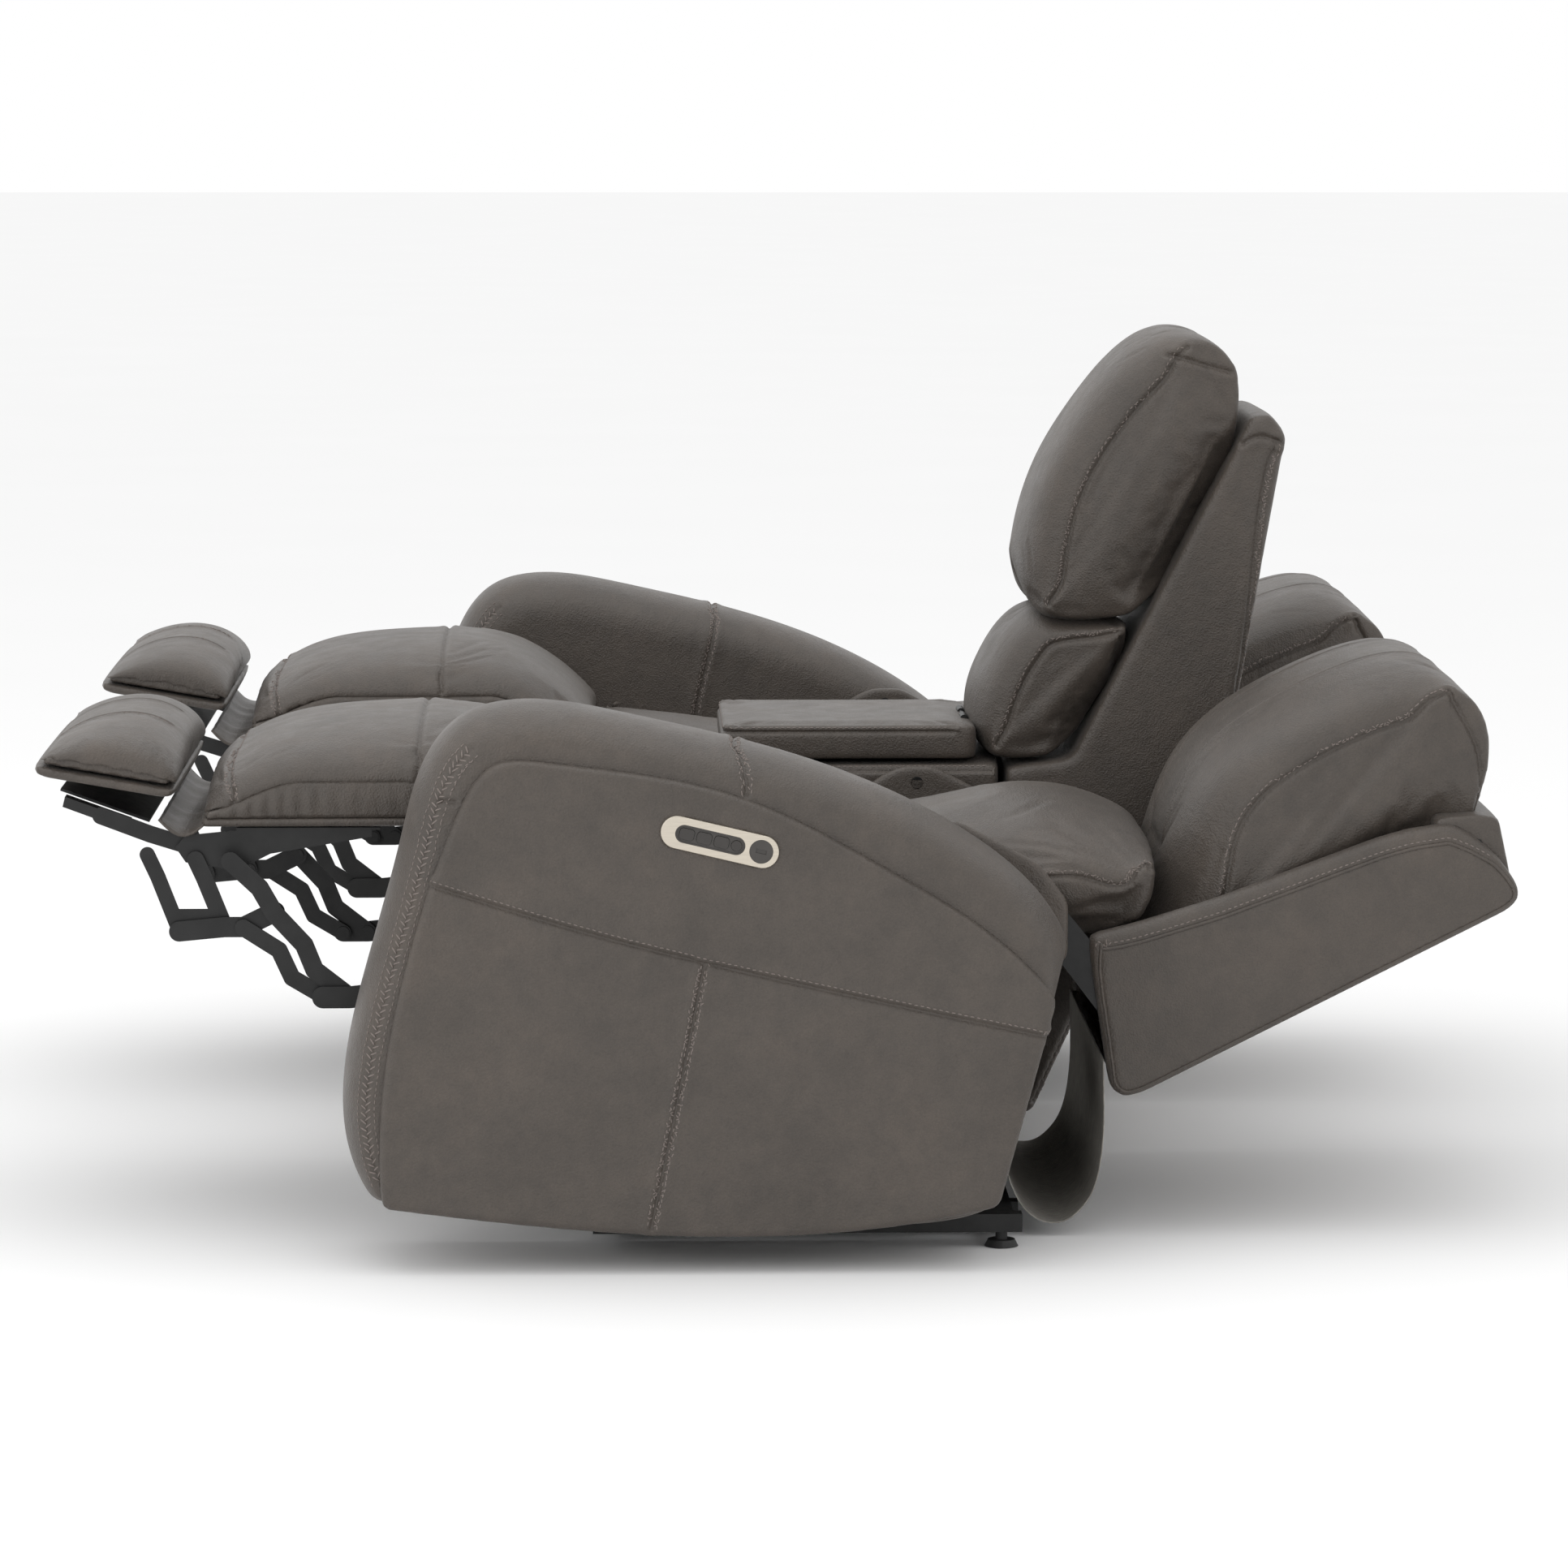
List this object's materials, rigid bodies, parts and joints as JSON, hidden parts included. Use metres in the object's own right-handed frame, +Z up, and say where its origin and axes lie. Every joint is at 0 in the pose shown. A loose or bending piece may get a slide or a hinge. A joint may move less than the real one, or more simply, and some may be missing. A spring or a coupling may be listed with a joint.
{
  "type": "reclining loveseat",
  "caption": "Two-seat power reclining sofa with a centre storage console, cup holders, folding padded leg rests and backs that lie back.",
  "frame": {"origin": "on the floor, in the middle of the whole object seen from above, with both seats reclined", "axes": "+X to the left of a person sitting in it, -Y to the front, where the leg rests point, +Z up"},
  "size_m": [1.987, 1.76, 1.0442],
  "materials": {
    "leather": "warm taupe-grey pigmented leather with a fine pebble grain, satin",
    "skirt": "taupe vinyl outside, pale woven backing inside",
    "button": "grey rubberised plastic",
    "bezel": "champagne satin",
    "switch_plastic": "black satin moulded plastic",
    "cup_metal": "black satin with a polished rim",
    "wood": "unfinished frame board",
    "spring_steel": "oiled spring wire",
    "glide": "black moulded plastic",
    "drive_plastic": "black textured plastic",
    "black_steel": "satin black powder coat"
  },
  "bodies": {
    "base": {"base_rails": "black_steel", "glide_feet": "glide", "arm_frames": "wood", "left_arm_cover": "leather", "right_arm_cover": "leather", "left_side_panel": "leather", "right_side_panel": "leather", "switch_bezels": "bezel", "switch_inserts": "switch_plastic", "console_body": "leather", "cup_holders": "cup_metal", "lid_hinge": "black_steel", "console_back_frame": "wood", "console_wings": "leather", "console_upper_pillow": "leather", "console_lumbar_pillow": "leather", "power_supply": "drive_plastic", "actuators": "black_steel", "mechanism_plates": "black_steel", "seat_frames": "black_steel", "seat_springs": "spring_steel", "left_seat_cushion": "leather", "right_seat_cushion": "leather", "rear_skirts": "skirt"},
    "console_lid": {"console_lid": "leather"},
    "left_back": {"left_back_frame": "black_steel", "left_back_shell": "leather", "left_back_cushion": "leather"},
    "left_legrest": {"left_legrest_board": "wood", "left_legrest_brackets": "black_steel", "left_legrest_pad": "leather"},
    "left_flap": {"left_flap_frame": "black_steel", "left_flap_pad": "leather"},
    "left_crank": {"left_cranks": "black_steel"},
    "left_main_link": {"left_main_links": "black_steel"},
    "left_side_link": {"left_side_links": "black_steel"},
    "left_cross_link": {"left_cross_links": "black_steel"},
    "left_drop_link": {"left_drop_links": "black_steel"},
    "left_raise_button": {"left_raise_button": "button"},
    "left_lower_button": {"left_lower_button": "button"},
    "left_head_button": {"left_head_button": "button"},
    "left_home_button": {"left_home_button": "button"},
    "right_back": {"right_back_frame": "black_steel", "right_back_shell": "leather", "right_back_cushion": "leather"},
    "right_legrest": {"right_legrest_board": "wood", "right_legrest_brackets": "black_steel", "right_legrest_pad": "leather"},
    "right_flap": {"right_flap_frame": "black_steel", "right_flap_pad": "leather"},
    "right_crank": {"right_cranks": "black_steel"},
    "right_main_link": {"right_main_links": "black_steel"},
    "right_side_link": {"right_side_links": "black_steel"},
    "right_cross_link": {"right_cross_links": "black_steel"},
    "right_drop_link": {"right_drop_links": "black_steel"},
    "right_raise_button": {"right_raise_button": "button"},
    "right_lower_button": {"right_lower_button": "button"},
    "right_head_button": {"right_head_button": "button"},
    "right_home_button": {"right_home_button": "button"}
  },
  "joints": [
    {"name": "left_recline", "type": "hinge", "parent": "base", "child": "left_back", "pos_m": [0.483, 0.19, 0.478], "axis": [1, 0, 0], "range_deg": [0, 46]},
    {"name": "left_legrest_fold", "type": "hinge", "parent": "base", "child": "left_legrest", "pos_m": [0.483, -0.425, 0.475], "axis": [1, 0, 0], "range_deg": [0, 90]},
    {"name": "left_flap_fold", "type": "hinge", "parent": "left_legrest", "child": "left_flap", "pos_m": [0.483, -0.691, 0.465], "axis": [1, 0, 0], "range_deg": [-20.05, 0]},
    {"name": "left_crank_turn", "type": "hinge", "parent": "base", "child": "left_crank", "pos_m": [0.483, -0.313, 0.4], "axis": [1, 0, 0], "range_deg": [0, 88.82]},
    {"name": "left_main_link_turn", "type": "hinge", "parent": "left_crank", "child": "left_main_link", "pos_m": [0.483, -0.507, 0.29], "axis": [1, 0, 0], "range_deg": [-53.95, 0]},
    {"name": "left_side_link_turn", "type": "hinge", "parent": "left_crank", "child": "left_side_link", "pos_m": [0.483, -0.538, 0.29], "axis": [1, 0, 0], "range_deg": [-58.48, 0]},
    {"name": "left_cross_link_turn", "type": "hinge", "parent": "left_main_link", "child": "left_cross_link", "pos_m": [0.483, -0.595, 0.39], "axis": [1, 0, 0], "range_deg": [0, 37.62]},
    {"name": "left_drop_link_turn", "type": "hinge", "parent": "left_cross_link", "child": "left_drop_link", "pos_m": [0.483, -0.655, 0.372], "axis": [1, 0, 0], "range_deg": [-22.13, 0]},
    {"name": "left_raise_press", "type": "slide", "parent": "base", "child": "left_raise_button", "axis": [1, 0, 0], "range_m": [-0.0012, 0], "stiffness_N_per_m": 400, "springref_m": 0.0006},
    {"name": "left_lower_press", "type": "slide", "parent": "base", "child": "left_lower_button", "axis": [1, 0, 0], "range_m": [-0.0012, 0], "stiffness_N_per_m": 400, "springref_m": 0.0006},
    {"name": "left_head_press", "type": "slide", "parent": "base", "child": "left_head_button", "axis": [1, 0, 0], "range_m": [-0.0012, 0], "stiffness_N_per_m": 400, "springref_m": 0.0006},
    {"name": "left_home_press", "type": "slide", "parent": "base", "child": "left_home_button", "axis": [1, 0, 0], "range_m": [-0.0012, 0], "stiffness_N_per_m": 400, "springref_m": 0.0006},
    {"name": "right_recline", "type": "hinge", "parent": "base", "child": "right_back", "pos_m": [-0.483, 0.19, 0.478], "axis": [1, 0, 0], "range_deg": [0, 46]},
    {"name": "right_legrest_fold", "type": "hinge", "parent": "base", "child": "right_legrest", "pos_m": [-0.483, -0.425, 0.475], "axis": [1, 0, 0], "range_deg": [0, 90]},
    {"name": "right_flap_fold", "type": "hinge", "parent": "right_legrest", "child": "right_flap", "pos_m": [-0.483, -0.691, 0.465], "axis": [1, 0, 0], "range_deg": [-20.05, 0]},
    {"name": "right_crank_turn", "type": "hinge", "parent": "base", "child": "right_crank", "pos_m": [-0.483, -0.313, 0.4], "axis": [1, 0, 0], "range_deg": [0, 88.82]},
    {"name": "right_main_link_turn", "type": "hinge", "parent": "right_crank", "child": "right_main_link", "pos_m": [-0.483, -0.507, 0.29], "axis": [1, 0, 0], "range_deg": [-53.95, 0]},
    {"name": "right_side_link_turn", "type": "hinge", "parent": "right_crank", "child": "right_side_link", "pos_m": [-0.483, -0.538, 0.29], "axis": [1, 0, 0], "range_deg": [-58.48, 0]},
    {"name": "right_cross_link_turn", "type": "hinge", "parent": "right_main_link", "child": "right_cross_link", "pos_m": [-0.483, -0.595, 0.39], "axis": [1, 0, 0], "range_deg": [0, 37.62]},
    {"name": "right_drop_link_turn", "type": "hinge", "parent": "right_cross_link", "child": "right_drop_link", "pos_m": [-0.483, -0.655, 0.372], "axis": [1, 0, 0], "range_deg": [-22.13, 0]},
    {"name": "right_raise_press", "type": "slide", "parent": "base", "child": "right_raise_button", "axis": [-1, 0, 0], "range_m": [-0.0012, 0], "stiffness_N_per_m": 400, "springref_m": 0.0006},
    {"name": "right_lower_press", "type": "slide", "parent": "base", "child": "right_lower_button", "axis": [-1, 0, 0], "range_m": [-0.0012, 0], "stiffness_N_per_m": 400, "springref_m": 0.0006},
    {"name": "right_head_press", "type": "slide", "parent": "base", "child": "right_head_button", "axis": [-1, 0, 0], "range_m": [-0.0012, 0], "stiffness_N_per_m": 400, "springref_m": 0.0006},
    {"name": "right_home_press", "type": "slide", "parent": "base", "child": "right_home_button", "axis": [-1, 0, 0], "range_m": [-0.0012, 0], "stiffness_N_per_m": 400, "springref_m": 0.0006},
    {"name": "lid_hinge", "type": "hinge", "parent": "base", "child": "console_lid", "pos_m": [0, 0.258, 0.544], "axis": [1, 0, 0], "range_deg": [-90, 0]}
  ],
  "couplings": [
    {"joint": "left_flap_fold", "follows": "left_legrest_fold", "ratio": -0.22222},
    {"joint": "left_crank_turn", "follows": "left_legrest_fold", "ratio": 0.98633},
    {"joint": "left_main_link_turn", "follows": "left_legrest_fold", "ratio": -0.59889},
    {"joint": "left_side_link_turn", "follows": "left_legrest_fold", "ratio": -0.64922},
    {"joint": "left_cross_link_turn", "follows": "left_legrest_fold", "ratio": 0.41744},
    {"joint": "left_drop_link_turn", "follows": "left_legrest_fold", "ratio": -0.24533},
    {"joint": "right_flap_fold", "follows": "right_legrest_fold", "ratio": -0.22222},
    {"joint": "right_crank_turn", "follows": "right_legrest_fold", "ratio": 0.98633},
    {"joint": "right_main_link_turn", "follows": "right_legrest_fold", "ratio": -0.59889},
    {"joint": "right_side_link_turn", "follows": "right_legrest_fold", "ratio": -0.64922},
    {"joint": "right_cross_link_turn", "follows": "right_legrest_fold", "ratio": 0.41744},
    {"joint": "right_drop_link_turn", "follows": "right_legrest_fold", "ratio": -0.24533}
  ]
}
